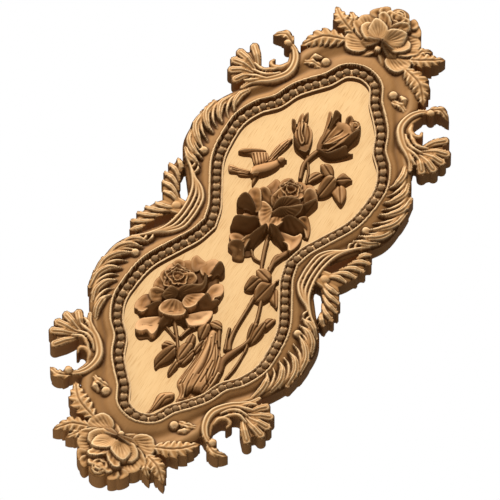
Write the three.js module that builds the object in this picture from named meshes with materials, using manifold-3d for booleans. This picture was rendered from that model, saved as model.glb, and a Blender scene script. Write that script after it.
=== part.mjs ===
// Carved wall panel: a scrolled frame with a bead course, a plain ground board let into its back,
// and a spray of roses with a flying bird applied to the ground.
// Drawn in millimetres as seen from the front: x to the right, y up, z out from the wall.
// The finished group is turned so that the row's +Z is up and the carving faces -Y.
import * as THREE from 'three';
import { mergeVertices } from 'three/addons/utils/BufferGeometryUtils.js';
import Module from 'manifold-3d';

const wasm = await Module();
wasm.setup();

// Driving dimensions
const gap = 0.3; // clearance between touching pieces
const boardThick = 8; // ground board
const boardLap = 5; // how far the board runs under the frame's lip
const seatHeight = 13; // floor of the bead channel
const rimHeight = 22; // fillet outside the beads
const coveHeight = 17; // bottom of the plain cove
const edgeHeight = 19; // top of the outer wall
const lipOffset = -7.5; // offsets from the bead line, outwards positive
const seatOffset = 5.5;
const rimOffset = 8;
const beadRadius = 4.6;
const beadHeight = 7.5;
const beadsPerQuarter = 31;
const sunk = 12; // foot of carving that stands on the moulding
const fingers = 6; // acanthus fingers on each lobe
const strandCount = 4; // strands beside each half of the waist
const strandDepth = 3;
const frameSteps = 14; // stations in each quarter of the moulding
const quarters = [[1, 1], [1, -1], [-1, -1], [-1, 1]]; // clockwise from the upper right

// The bead line in the upper right quarter, from the top down to the waist,
// and the outer edge of the moulding beside each of its points.
const beadLine = [
  [0, 253], [19, 246], [30, 227], [44, 211], [56, 195], [65, 174],
  [80, 157], [90, 134], [91, 110], [86, 77], [69, 43], [58, 22], [52, 0],
];
const outerLine = [
  [0, 312], [28, 300], [58, 272], [75, 243], [76, 222], [92, 190],
  [112, 164], [127, 136], [133, 106], [129, 72], [106, 40], [91, 18], [88, 0],
];

// Small vector helpers
const polar = (angle, radius) => {
  const a = THREE.MathUtils.degToRad(angle);
  return [radius * Math.cos(a), radius * Math.sin(a)];
};
const shift = ([x, y], [dx, dy]) => [x + dx, y + dy];
const toward = ([x, y], [tx, ty], share) => [x + (tx - x) * share, y + (ty - y) * share];
const vec = ([x, y]) => new THREE.Vector2(x, y);
const smooth = (points) => new THREE.SplineCurve(points.map(vec));
const between = (values, t) => {
  // start, middle and end values, read along t from 0 to 1
  const place = t * (values.length - 1);
  const i = Math.min(Math.floor(place), values.length - 2);
  return values[i] + (values[i + 1] - values[i]) * (place - i);
};

// Solids
function indexedGeometry(positions, triangles) {
  const geometry = new THREE.BufferGeometry();
  geometry.setAttribute('position', new THREE.Float32BufferAttribute(positions, 3));
  geometry.setIndex(triangles);
  return geometry;
}

function toSolid(geometry) {
  const plain = geometry.clone();
  plain.deleteAttribute('normal');
  plain.deleteAttribute('uv');
  const merged = mergeVertices(plain, 1e-4);
  const triangles = [];
  for (let i = 0; i < merged.index.count; i += 3) {
    const [a, b, c] = [0, 1, 2].map((k) => merged.index.getX(i + k));
    if (a !== b && b !== c && c !== a) triangles.push([a, b, c]);
  }
  const make = (list) => new wasm.Manifold(new wasm.Mesh({
    numProp: 3, vertProperties: merged.attributes.position.array, triVerts: new Uint32Array(list.flat()),
  }));
  const solid = make(triangles);
  return solid.volume() > 0 ? solid : make(triangles.map(([a, b, c]) => [b, a, c]));
}

function join(solids) {
  return solids.reduce((whole, next) => whole.add(next));
}

function toMesh(name, solid, color, roughness) {
  const { vertProperties, triVerts } = solid.getMesh();
  const geometry = indexedGeometry([...vertProperties], [...triVerts]);
  geometry.computeVertexNormals();
  const material = new THREE.MeshStandardMaterial({ color, roughness, metalness: 0 });
  const mesh = new THREE.Mesh(geometry, material);
  mesh.name = name;
  return mesh;
}

// A closed block whose top is a grid of points and whose underside is flat at base.
// The underside follows the grid's sides, and its far end too when the rim is kept.
function block(rows, base, keepRim = false) {
  const positions = [];
  const place = (x, y, z) => positions.push(x, y, z) / 3 - 1;
  const triangles = [];
  const zip = (one, two) => {
    // fills the strip between two lines of points
    let [i, j] = [0, 0];
    const [m, n] = [one.length - 1, two.length - 1];
    while (i < m || j < n) {
      if (j === n || (i < m && (i + 1) / m <= (j + 1) / n)) {
        triangles.push(one[i], one[i + 1], two[j]);
        i += 1;
      } else {
        triangles.push(one[i], two[j + 1], two[j]);
        j += 1;
      }
    }
  };
  const last = rows.length - 1;
  const top = rows.map((row) => row.map((p) => place(...p)));
  const under = rows.map((row, i) => {
    const kept = keepRim && i === last ? row : [row[0], row[row.length - 1]];
    return kept.map(([x, y]) => place(x, y, base));
  });
  for (let i = 0; i < last; i += 1) {
    zip(top[i], top[i + 1]);
    zip(under[i + 1], under[i]);
  }
  zip(top.map((row) => row[0]), under.map((row) => row[0]));
  zip(under.map((row) => row.at(-1)), top.map((row) => row.at(-1)));
  zip(under[0], top[0]);
  zip(top[last], under[last]);
  return toSolid(indexedGeometry(positions, triangles));
}

// A ridge that follows a curve: width and crest are read from start to end.
// Its sides drop from the crest and then stand upright, or slope right down to the base.
function ridge(curve, { width, crest, drop, base = 0, steps = 4, across = [-1, 0, 1], wave = 0 }) {
  const rows = [];
  for (let i = 0; i <= steps; i += 1) {
    const t = i / steps;
    const p = curve.getPoint(t);
    const along = curve.getTangent(t);
    rows.push(across.map((s, j) => {
      const reach = s * between(width, t) / 2;
      const z = between(crest, t) - wave * (1 - j % 2);
      const fall = drop ?? z - base;
      return [p.x - along.y * reach, p.y + along.x * reach, z - fall * s * s];
    }));
  }
  return block(rows, base);
}

// A line bowed to its left by a share of its length.
function bowed(from, to, bow = 0) {
  const [a, b] = [vec(from), vec(to)];
  const side = b.clone().sub(a).rotateAround(new THREE.Vector2(), Math.PI / 2);
  const control = a.clone().add(b).multiplyScalar(0.5).addScaledVector(side, 2 * bow);
  return new THREE.QuadraticBezierCurve(a, control, b);
}

// A petal or shell that fans out from a hub: heights are read from the hub outwards,
// and each of its ribs swells towards the rim.
function fan({ hub, angle, spread, reach, heights, base = 0, ribs, rib, rows = 2, skew = 0 }) {
  const columns = 2 * ribs;
  const start = 0.1;
  const grid = [];
  for (let i = 0; i <= rows; i += 1) {
    const t = start + (1 - start) * i / rows;
    grid.push(Array.from({ length: columns + 1 }, (_, j) => {
      const s = j / ribs - 1;
      const crest = j % 2;
      const length = reach * t * (0.9 + 0.1 * crest) * (1 + skew * s);
      const [x, y] = shift(hub, polar(angle + spread * s / 2, length));
      return [x, y, between(heights, t) + rib * crest * t];
    }));
  }
  return block(grid, base, true);
}

function stud([x, y], base, radius, height, sides = 4) {
  const geometry = new THREE.ConeGeometry(radius, height, sides);
  geometry.rotateX(Math.PI / 2);
  geometry.translate(x, y, base + height / 2);
  return toSolid(geometry);
}

// A rounded boss that stands on base and rises to top.
function boss([x, y], base, top, radius, sides = 6) {
  const profile = [
    [0, base],
    [radius, base],
    [radius, top - radius],
    [0.65 * radius, top - 0.3 * radius],
    [0, top],
  ];
  const geometry = new THREE.LatheGeometry(profile.map(vec), sides);
  geometry.rotateX(Math.PI / 2);
  geometry.translate(x, y, 0);
  return toSolid(geometry);
}

// Mirrors a solid's geometry into another quarter of the panel.
function mirrored(solid, [sx, sy]) {
  const { vertProperties, triVerts } = solid.getMesh();
  const geometry = indexedGeometry([...vertProperties], [...triVerts]);
  geometry.scale(sx, sy, 1);
  return toSolid(geometry);
}

// Stations round the whole moulding, each with its bead point, outward direction and outer edge point.
function stations(count) {
  const [bead, outer] = [smooth(beadLine), smooth(outerLine)];
  const quarter = Array.from({ length: count + 1 }, (_, i) => {
    const t = i / count;
    const along = bead.getTangent(t);
    const out = new THREE.Vector2(-along.y, along.x);
    if (i === 0) out.set(0, 1);
    if (i === count) out.set(1, 0);
    return { bead: bead.getPoint(t), out, outer: outer.getPoint(t) };
  });
  const flip = (v, [sx, sy]) => new THREE.Vector2(v.x * sx, v.y * sy);
  return quarters.flatMap((q, k) => {
    const list = k % 2 ? [...quarter].reverse() : quarter;
    return list.slice(0, -1).map((s) => ({
      bead: flip(s.bead, q), out: flip(s.out, q), outer: flip(s.outer, q),
    }));
  });
}

// A ring swept round the panel. Each profile point is [offset from the bead line, z],
// or [share of the way from the rim to the outer edge, z, 'share'].
function sweepRing(profile, count) {
  const rings = stations(count).map(({ bead, out, outer }) => profile.map(([d, z, kind]) => {
    const rim = bead.clone().addScaledVector(out, kind ? rimOffset : d);
    const p = kind ? rim.lerp(outer, d) : rim;
    return [p.x, p.y, z];
  }));
  const size = profile.length;
  const triangles = [];
  rings.forEach((_, i) => {
    const next = ((i + 1) % rings.length) * size;
    for (let j = 0; j < size; j += 1) {
      const k = (j + 1) % size;
      triangles.push(i * size + j, next + j, next + k, i * size + j, next + k, i * size + k);
    }
  });
  return toSolid(indexedGeometry(rings.flat(2), triangles));
}

// Frame
function moulding() {
  const rebate = boardThick + gap;
  const rebateOffset = lipOffset + boardLap;
  return sweepRing([
    [lipOffset, rebate],
    [lipOffset, seatHeight],
    [seatOffset, seatHeight],
    [rimOffset - 1, rimHeight],
    [0.08, rimHeight, 'share'],
    [0.45, coveHeight, 'share'],
    [1, edgeHeight, 'share'],
    [1, 0, 'share'],
    [rebateOffset, 0],
    [rebateOffset, rebate],
  ], frameSteps);
}

function beadCourse() {
  const points = smooth(beadLine).getSpacedPoints(beadsPerQuarter);
  return quarters.flatMap(([sx, sy], k) => {
    const run = k % 2 ? points.slice(1) : points.slice(0, -1);
    return run.map((p) => stud([p.x * sx, p.y * sy], seatHeight - 1, beadRadius, beadHeight));
  });
}

// A lobed leaf: each lobe swells and draws in again, the whole tapering to both ends.
function leaf(from, to, { width, bow = 0, crest, base = 0, lobes = 2, drop = 4 }) {
  const steps = 2 * lobes;
  const widths = Array.from({ length: steps + 1 }, (_, i) => {
    const body = Math.sin(Math.PI * (0.12 + 0.84 * i / steps));
    return width * body * (i % 2 ? 1 : 0.74) + 0.6;
  });
  return ridge(bowed(from, to, bow), { width: widths, crest, base, drop, steps });
}

// The acanthus round a lobe: fingers rooted on the outer edge sweep down and hook in over the cove,
// with a hollow between each and the next.
function acanthus() {
  const root = smooth([[101, 174], [116, 154], [127, 136], [131, 116], [129, 86], [117, 60]]);
  const tip = smooth([[99, 142], [103, 124], [106, 106], [105, 84], [101, 66], [92, 50]]);
  const rows = [];
  for (let i = 0; i <= 2 * fingers; i += 1) {
    const crest = i % 2;
    const [outer, inner] = [root.getPoint(i / (2 * fingers)), tip.getPoint(i / (2 * fingers))];
    const reach = crest ? 1.06 : 0.66;
    const middle = outer.clone().lerp(inner, 0.5 * reach).add(new THREE.Vector2(5 * crest, 0));
    const end = outer.clone().lerp(inner, reach);
    rows.push([
      [outer.x, outer.y, crest ? 25 : 22.5],
      [middle.x, middle.y, crest ? 28 : 21],
      [end.x, end.y, crest ? 24 : 20],
    ]);
  }
  return block(rows, sunk);
}

// Long parallel strands that run from the lobe down to the waist.
function strands() {
  const spine = bowed([107, 53], [81, -1], -0.16);
  return ridge(spine, {
    width: [26, 20, 19],
    crest: [22, 24, 24],
    drop: 0,
    base: sunk,
    steps: 3,
    across: Array.from({ length: 2 * strandCount + 1 }, (_, j) => j / strandCount - 1),
    wave: strandDepth,
  });
}

// Acanthus, C-scroll, shell and ear of one quarter of the frame.
function quarterCarving() {
  const scrollSpine = smooth([[99, 246], [84, 242], [73, 226], [73, 210], [93, 187], [109, 166]]);
  const scroll = [
    ridge(scrollSpine, { width: [7, 9, 10, 10, 8], crest: [24, 26, 27, 27, 25], drop: 4, steps: 7 }),
    stud([99, 193], sunk, 9, 17, 5),
    leaf([90, 245], [113, 247], { width: 12, crest: [22, 18, 10], lobes: 1, drop: 5 }),
    ridge(bowed([76, 202], [97, 210]), { width: [10, 9, 2], crest: [24, 22, 14], steps: 2 }),
  ];
  const shell = fan({
    hub: [96, 193], angle: 4, spread: 108, reach: 38, heights: [20, 20], ribs: 5, rib: 6, skew: 0.12, rows: 1,
  });
  const ear = leaf([90, -1], [122, 47], { width: 20, bow: -0.13, crest: [18, 20, 19, 17], lobes: 3 });
  const flank = [
    leaf([40, 296], [70, 314], { width: 21, bow: -0.08, crest: [22, 23, 17] }),
    leaf([42, 281], [80, 251], { width: 24, bow: 0.12, crest: [22, 25, 20] }),
  ];
  const berries = [
    stud([43.5, 244], 14, 6, 12, 5),
    ridge(bowed([44, 240], [70, 234], 0.1), { width: [4, 14, 5], crest: [22, 26, 24], base: sunk, steps: 2 }),
  ];
  return join([acanthus(), strands(), ...scroll, shell, ear, ...flank, ...berries]);
}

// The rose at the top end: an outer ring of petals, an inner ring, and the curled heart above.
function endRose() {
  return join([
    fan({ hub: [0, 300], angle: 90, spread: 304, reach: 46, heights: [30, 29, 20], ribs: 9, rib: 5 }),
    fan({
      hub: [0, 305], angle: 90, spread: 310, reach: 25,
      heights: [32, 30], ribs: 5, rib: 4, rows: 1, base: sunk,
    }),
    stud([0, 333], sunk, 14, 22, 6),
  ]);
}

function buildFrame() {
  const quarter = quarterCarving();
  const rose = endRose();
  const carving = [...quarters.map((q) => mirrored(quarter, q)), rose, mirrored(rose, [1, -1])];
  return join([moulding(), ...beadCourse(), ...carving]);
}

// Ground board and the clear space over it
function prism(offset, from, to) {
  const outline = new THREE.Shape(stations(frameSteps).map(({ bead, out }) => (
    bead.clone().addScaledVector(out, offset)
  )));
  const geometry = new THREE.ExtrudeGeometry(outline, { depth: to - from, bevelEnabled: false });
  geometry.translate(0, 0, from);
  return toSolid(geometry);
}

// Spray
const onBoard = boardThick + gap;
const branch = (from, to, width, crest, bow = 0) => ridge(bowed(from, to, bow), {
  width: width.map((w) => 1.4 * w), crest, base: onBoard, steps: 3,
});
const petal = (from, to, width, crest, bow = 0) => ridge(bowed(from, to, bow), {
  width: [width * 0.45, width, width * 0.95, width * 0.35], crest, drop: 5, base: onBoard, steps: 3,
});
const sepal = (from, to, width, crest, bow = 0) => ridge(bowed(from, to, bow), {
  width: [width * 0.6, width, width, width * 0.3], crest, base: onBoard, steps: 3,
});
const sprayLeaf = (from, to, width, bow = 0.06) => ridge(bowed(from, to, bow), {
  width: [width * 0.45, width, 0.8], crest: [15, 18, 13], drop: 3, base: onBoard, steps: 2,
});

function upperRose() {
  const hub = [5, 25];
  const outer = [
    [[-30, 14], 13, -0.1], [[-38, 42], 15, 0.12], [[-33, 63], 14, 0.12],
    [[48, 40], 15, 0.16], [[43, 13], 13, -0.1],
  ].map(([tip, width, bow]) => sepal(toward(hub, tip, 0.2), tip, width, [20, 22, 19], bow));
  const inner = [
    [[-20, 62], 18, -0.06], [[18, 58], 19, 0.06],
  ].map(([tip, width, bow]) => petal(toward(hub, tip, 0.15), tip, width, [24, 28, 27], bow));
  return [
    boss(hub, onBoard, 25, 10),
    ...outer,
    fan({ hub: [5, 42], angle: 80, spread: 120, reach: 53, heights: [26, 22], ribs: 5, rib: 4, rows: 1,
      base: onBoard }),
    ...inner,
    petal([-2, 54], [28, 70], 17, [27, 30, 28], 0.12),
    petal([4, 22], [-22, -16], 24, [17, 20, 17], 0.08),
    sepal([5, 20], [6, -18], 14, [16, 18, 14]),
  ];
}

function buds() {
  return [
    petal([-4, 133], [-33, 174], 20, [18, 22, 19], -0.08),
    sepal([2, 139], [-5, 192], 13, [18, 20, 15], 0.1),
    petal([3, 139], [20, 192], 30, [18, 25, 22], 0.05),
    boss([24, 186], onBoard, 27, 9),
    sepal([6, 141], [40, 158], 12, [17, 19, 14], -0.1),
    branch([4, 143], [6, 82], [5, 4, 5], [16, 15, 16], 0.08),
    branch([-5, 136], [15, 84], [4, 4, 5], [16, 15, 16], -0.05),
  ];
}

function leaves() {
  return [
    [[37, 115], [18, 134], 13], [[35, 104], [13, 116], 12], [[29, 84], [44, 120], 15],
    [[39, 120], [57, 131], 11], [[45, 119], [62, 94], 14],
    [[44, -31], [23, -21], 11], [[36, -50], [19, -36], 11],
    [[38, -54], [49, -30], 13], [[46, -38], [68, -57], 12],
    [[58, -112], [51, -83], 12], [[60, -110], [67, -78], 12], [[63, -84], [73, -67], 9],
    [[-2, -148], [-19, -182], 18], [[0, -164], [3, -128], 13], [[-1, -162], [3, -188], 12],
    [[2, -150], [14, -142], 9], [[22, -114], [6, -106], 9], [[23, -114], [22, -98], 8],
  ].map(([from, to, width]) => sprayLeaf(from, to, width));
}

function lowerRose() {
  const hub = [-32, -106];
  const light = [
    [[-53, -160], 28, 0.08], [[8, -101], 19, -0.1], [[-72, -128], 17, 0.08],
  ].map(([tip, width, bow]) => petal(toward(hub, tip, 0.15), tip, width, [20, 23, 21], bow));
  return [
    ...light,
    fan({ hub: [-32, -103], angle: 98, spread: 170, reach: 62, heights: [25, 20], ribs: 6, rib: 4, rows: 1,
      base: onBoard, skew: -0.12 }),
    fan({ hub: [-36, -96], angle: 105, spread: 220, reach: 33, heights: [28, 26], ribs: 4, rib: 4, rows: 1,
      base: onBoard }),
    petal([-14, -86], [4, -60], 19, [24, 27, 24], -0.08),
    boss([-33, -103], onBoard, 31, 11),
    branch([-30, -118], [0, -170], [6, 5, 6], [16, 15, 16], 0.06),
  ];
}

function stems() {
  return [
    branch([31, 84], [41, 122], [5, 4, 4], [17, 17, 15]),
    branch([10, 20], [38, -34], [5, 5, 5], [17, 15, 16], -0.06),
    branch([38, -26], [38, -56], [5, 5, 5], [16, 15, 16], -0.05),
    branch([38, -50], [38, -145], [4, 4, 5], [16, 15, 17], 0.03),
    branch([47, -40], [48, -180], [4, 4.5, 6], [16, 16, 17], 0.08),
    branch([61, -100], [52, -176], [3, 3.5, 4], [15, 15, 16], 0.1),
    branch([-2, -166], [22, -150], [5, 6, 6], [16, 16, 17], -0.1),
  ];
}

function trunk() {
  return [
    ridge(bowed([23, -108], [38, -212], -0.02), {
      width: [9, 24, 32, 38], crest: [16, 19, 19, 17], drop: 4, base: onBoard,
      steps: 5, across: [-1, -0.5, 0.5, 1],
    }),
    ridge(bowed([13, -246], [14, -200], 0.02), {
      width: [18, 17, 15], crest: [19, 20, 16], drop: 4, base: onBoard, steps: 2,
    }),
  ];
}

function buildSpray() {
  const whole = join([...upperRose(), ...buds(), ...leaves(), ...lowerRose(), ...stems(), ...trunk()]);
  return whole.intersect(prism(lipOffset - gap, onBoard, onBoard + 40));
}

function buildBird() {
  const feathers = (hub, angle, spread, reach, ribs) => fan({
    hub, angle, spread, reach, heights: [16, 14], ribs, rib: 3, rows: 1, base: onBoard,
  });
  return join([
    ridge(bowed([-50, 80], [-23, 113], -0.1), {
      width: [4, 14, 13, 8], crest: [15, 20, 20, 18], drop: 4, base: onBoard,
    }),
    boss([-23, 113], onBoard, 20, 6),
    branch([-22, 114], [-15, 117], [5, 3, 1], [17, 15, 12]),
    feathers([-36, 94], 158, 50, 37, 4),
    feathers([-35, 100], 84, 22, 34, 2),
    feathers([-44, 86], 205, 30, 29, 3),
  ]);
}

// Assembly
const wood = 0xb07c4c;
const panel = new THREE.Group();
panel.name = 'carved_wall_panel';
panel.add(
  toMesh('carved_frame', buildFrame(), wood, 0.55),
  toMesh('ground_board', prism(lipOffset + boardLap - gap, 0, boardThick), 0xe6c48d, 0.6),
  toMesh('flower_spray', buildSpray(), wood, 0.55),
  toMesh('bird', buildBird(), wood, 0.55),
);
panel.rotation.x = Math.PI / 2;

const part = new THREE.Group();
part.name = 'part';
part.add(panel);

export default part;
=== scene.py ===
# Carved wall panel: frame, ground board, rose spray and bird, shaped as carved relief on fine sheets.
# Drawn in millimetres facing the panel: x right, u up, n out from the wall.
import math

import bpy
import numpy as np
from mathutils import Matrix, Vector


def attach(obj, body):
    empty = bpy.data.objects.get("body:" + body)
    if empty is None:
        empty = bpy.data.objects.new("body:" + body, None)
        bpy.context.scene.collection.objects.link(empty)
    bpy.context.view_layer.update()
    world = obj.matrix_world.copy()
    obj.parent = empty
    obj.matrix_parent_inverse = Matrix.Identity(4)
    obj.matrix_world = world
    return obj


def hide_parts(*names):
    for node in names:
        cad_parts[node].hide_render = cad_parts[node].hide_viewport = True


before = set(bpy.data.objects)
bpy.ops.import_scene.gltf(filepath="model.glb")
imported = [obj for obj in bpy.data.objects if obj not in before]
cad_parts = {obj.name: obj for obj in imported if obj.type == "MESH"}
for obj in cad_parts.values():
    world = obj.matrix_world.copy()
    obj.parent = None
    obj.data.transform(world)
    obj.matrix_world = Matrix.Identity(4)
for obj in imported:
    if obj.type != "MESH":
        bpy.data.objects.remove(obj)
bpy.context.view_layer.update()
print("frame loaded")

mm = 0.001
wallSlope = 0.9   # run-out of a carved side, mm


# curves and sheets

def curveThrough(points, count=64, closed=False):
    p = np.array(points, float)
    if closed:
        ends = np.vstack([p[-1:], p, p[:2]])
    else:
        ends = np.vstack([2 * p[0] - p[1], p, 2 * p[-1] - p[-2]])
    runs = []
    for i in range(len(ends) - 3):
        a, b, c, d = ends[i:i + 4]
        t = np.linspace(0, 1, 24, endpoint=False)[:, None]
        runs.append(0.5 * (2 * b + (c - a) * t + (2 * a - 5 * b + 4 * c - d) * t ** 2
                           + (3 * b - a - 3 * c + d) * t ** 3))
    line = np.vstack(runs + [ends[-2:-1]])
    walked = np.r_[0, np.cumsum(np.hypot(*np.diff(line, axis=0).T))]
    even = np.linspace(0, walked[-1], count)
    return np.column_stack([np.interp(even, walked, line[:, k]) for k in (0, 1)])


def bowed(a, b, bow=0.0):
    a, b = np.array(a, float), np.array(b, float)
    left = np.array([a[1] - b[1], b[0] - a[0]])
    return curveThrough([a, (a + b) / 2 + left * bow, b], 40)


def along(values, t):
    return np.interp(t, np.linspace(0, 1, len(values)), values)


def newSheet(x0, x1, u0, u1, step):
    xs = np.arange(round(x0 / step), round(x1 / step) + 1) * step
    us = np.arange(round(u0 / step), round(u1 / step) + 1) * step
    x, u = np.meshgrid(xs, us)
    return {"x": x, "u": u, "h": np.zeros_like(x), "d": np.full_like(x, -30.0),
            "paintedLightTone": np.zeros_like(x), "step": step}


def window(sheet, low, high):
    xs, us = sheet["x"][0], sheet["u"][:, 0]
    j0, j1 = np.searchsorted(xs, [low[0], high[0]])
    i0, i1 = np.searchsorted(us, [low[1], high[1]])
    return slice(i0, i1), slice(j0, j1)


# joins a carved form to the sheet: the higher surface shows, with a softened edge
def lay(sheet, where, inside, z, edge=1.2, paintedLightTone=0.0):
    rim = np.clip(1 - inside / edge, 0, 1)
    z = z - edge * (1 - np.sqrt(1 - rim ** 2))
    z = z * np.clip(1 + inside / wallSlope, 0, 1)
    shown = z > sheet["h"][where]
    sheet["h"][where] = np.where(shown, z, sheet["h"][where])
    # this lightness value is painted light above zero (paler) and painted shade below zero (darker)
    sheet["paintedLightTone"][where] = np.where(shown, paintedLightTone, sheet["paintedLightTone"][where])
    sheet["d"][where] = np.maximum(sheet["d"][where], inside)


# place along a line (0 to 1), signed distance to its left, plain distance
def lineField(x, u, line):
    tangent = np.gradient(line, axis=0)
    tangent /= np.linalg.norm(tangent, axis=1)[:, None]
    step = np.linalg.norm(line[1] - line[0])
    last = len(line) - 1
    parts = []
    for xr, ur in zip(x, u):
        dx = xr[:, None] - line[:, 0]
        du = ur[:, None] - line[:, 1]
        k = (dx ** 2 + du ** 2).argmin(1)
        row = np.arange(len(k))
        dx, du = dx[row, k], du[row, k]
        ahead = dx * tangent[k, 0] + du * tangent[k, 1]
        side = tangent[k, 0] * du - tangent[k, 1] * dx
        past = ((k == 0) & (ahead < 0)) | ((k == last) & (ahead > 0))
        far = np.where(past, np.hypot(dx, du), np.abs(side))
        t = np.clip((k + ahead / step) / last, 0, 1)
        parts.append((t, np.where(side < 0, -far, far), far))
    return [np.array(p) for p in zip(*parts)]


def stroke(sheet, line, width, top, drop=3.0, ribs=0, rib=0.0, edge=1.2, paintedLightTone=0.0):
    reach = max(width) / 2 + 2
    where = window(sheet, line.min(0) - reach, line.max(0) + reach)
    t, side, far = lineField(sheet["x"][where], sheet["u"][where], line)
    half = along(width, t) / 2
    s = np.clip(side / np.maximum(half, 0.2), -1, 1)
    z = along(top, t) - drop * s ** 2
    if ribs:
        z = z - rib * (0.5 + 0.5 * np.cos(np.pi * ribs * (s + 1)))
    lay(sheet, where, half - far, z, edge, paintedLightTone)


leafForm = {"drop": 2.5, "vein": 1.8, "veinWidth": 0.9, "sideVein": 1.4, "edge": 0.8}


# a leaf with forward teeth, a middle vein and side veins
def leaf(sheet, a, b, width, top, bow=0.0, teeth=4, tooth=0.3):
    line = bowed(a, b, bow)
    where = window(sheet, line.min(0) - width / 2 - 2, line.max(0) + width / 2 + 2)
    t, side, far = lineField(sheet["x"][where], sheet["u"][where], line)
    body = np.sin(np.pi * np.clip(t, 0.02, 0.99) ** 0.8) ** 0.8
    half = width / 2 * body * (1 - tooth * (1 - (t * teeth) % 1)) + 0.4
    s = np.clip(side / half, -1, 1)
    z = along(top, t) - leafForm["drop"] * s ** 2
    z = z - leafForm["vein"] * np.exp(-(side / leafForm["veinWidth"]) ** 2)
    z = z + leafForm["sideVein"] * np.cos(2 * np.pi * (teeth * t - 0.6 * np.abs(s))) * np.abs(s)
    lay(sheet, where, half - far, z, leafForm["edge"])


# a petal that fans from a hub: angles in degrees, heights read from hub to rim
def petal(sheet, hub, angle, reach, spread, top, striae=0, stria=0.0, ruffle=0.0, waves=3, lip=0.0, edge=1.2,
          paintedLightTone=0.0):
    far = reach * (1 + abs(ruffle)) + 2
    where = window(sheet, np.array(hub) - far, np.array(hub) + far)
    dx = sheet["x"][where] - hub[0]
    du = sheet["u"][where] - hub[1]
    r = np.hypot(dx, du)
    turn = np.arctan2(du, dx) - math.radians(angle)
    half = math.radians(spread) / 2
    s = ((turn + np.pi) % (2 * np.pi) - np.pi) / half
    limit = reach * (1 - 0.2 * np.abs(s) ** 3 + ruffle * np.cos(np.pi * waves * s))
    t = r / np.maximum(limit, 0.1)
    z = along(top, t) + lip * np.exp(-((1 - t) / 0.12) ** 2)
    if striae:
        z = z + stria * np.cos(np.pi * striae * s) * np.clip(1.6 * t - 0.2, 0, 1)
    lay(sheet, where, np.minimum(limit - r, (1 - np.abs(s)) * half * r), z, edge, paintedLightTone)


def dome(sheet, centre, radius, top, tall=1.0, paintedLightTone=0.0):
    where = window(sheet, np.array(centre) - radius - 2, np.array(centre) + radius + 2)
    far = np.hypot(sheet["x"][where] - centre[0], sheet["u"][where] - centre[1])
    bulge = np.sqrt(np.clip(1 - (far / radius) ** 2, 0, 1))
    lay(sheet, where, radius - far, top - radius * tall * (1 - bulge), 0.1, paintedLightTone)


# a petal or leaf from its edge: domed towards its middle and leaning to face one way
def patch(sheet, points, top, facing, slope, drop, soft, vein=0.0, cup=0.0, ribs=0, rib=0.7,
          hub=(0, 292), grow=0.0, fade=0.0, paintedLightTone=0.0):
    ring = curveThrough(points, 73, True)
    where = window(sheet, ring.min(0) - 2, ring.max(0) + 2)
    x, u = sheet["x"][where], sheet["u"][where]
    within = np.zeros(x.shape, bool)
    for (ax, au), (bx, bu) in zip(ring[:-1], ring[1:]):
        if au != bu:
            within ^= ((au > u) != (bu > u)) & (x < (bx - ax) * (u - au) / (bu - au) + ax)
    far = lineField(x, u, ring)[2]
    inside = np.where(within, far, -far) + grow
    middle = ring.mean(0)
    turn = math.radians(facing)
    lean = (x - middle[0]) * math.cos(turn) + (u - middle[1]) * math.sin(turn)
    deep = boxBlur(np.clip(inside / min(soft, inside.max()), 0, 1), max(1, round(1.3 / sheet["step"])))
    z = top - slope * lean - drop * (1 - deep) ** 2 - cup * deep ** 2 * (1.5 - 0.5 * deep)
    if vein:
        axis = np.linalg.svd(ring - middle)[2][0]
        off = (x - middle[0]) * -axis[1] + (u - middle[1]) * axis[0]
        z = z - vein * np.exp(-(off / 0.9) ** 2)
    if ribs:
        z = z + rib * np.cos(ribs * np.arctan2(u - hub[1], x - hub[0])) * deep
    # painted shade: darker towards the hub
    if fade:
        out = np.hypot(x - hub[0], u - hub[1])
        t = (out - out[within].min()) / np.ptp(out[within])
        paintedLightTone = paintedLightTone - fade * np.clip(1 - t, 0, 1) ** 1.5
    lay(sheet, where, inside, np.maximum(z, 11.0), 0.8, paintedLightTone)


def groove(sheet, line, width, depth):
    where = window(sheet, line.min(0) - 3 * width, line.max(0) + 3 * width)
    far = lineField(sheet["x"][where], sheet["u"][where], line)[2]
    cut = np.exp(-(far / width) ** 2) * (sheet["d"][where] > 0.5)
    sheet["h"][where] -= depth * cut
    # painted shade in the cut
    sheet["paintedLightTone"][where] -= min(1.0, depth / 4) * cut


def polar(angle, radius):
    return np.array([math.cos(math.radians(angle)), math.sin(math.radians(angle))]) * radius


# a curled petal heart: short arcs wound round a centre
def curl(sheet, centre, radius, top, turns=5, width=4.0):
    dome(sheet, centre, radius * 0.45, top, 0.5)
    for i in range(turns):
        start = 137 * i
        r = radius * (0.4 + 0.6 * (i + 1) / turns)
        arc = np.array([np.array(centre) + polar(start + a, r) for a in np.linspace(0, 150, 7)])
        ends = top - 0.5 * i
        stroke(sheet, curveThrough(arc, 30), [1.5, width, 1.5], [ends, top + 1 - 0.6 * i, ends], 1.5, edge=1.0)


def boxBlur(a, cells):
    for axis in (0, 1):
        pad = [(0, 0), (0, 0)]
        pad[axis] = (cells + 1, cells)
        total = np.cumsum(np.pad(a, pad, mode="edge"), axis=axis)
        n = a.shape[axis]
        high = np.take(total, np.arange(2 * cells + 1, 2 * cells + 1 + n), axis=axis)
        low = np.take(total, np.arange(n), axis=axis)
        a = (high - low) / (2 * cells + 1)
    return a


# where glaze and painted shade gather: hollows, cuts and steep sides; inner walls, outer walls and the back
# get their own share
glazeShadeForm = {"wideMm": 5, "fineMm": 1.6, "hollowMm": 6, "cutMm": 1.5, "ridgeMm": 1.2, "steep": 1.3,
             "innerWall": 1.0, "outerWall": 0.7, "rear": 0.3}


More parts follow.
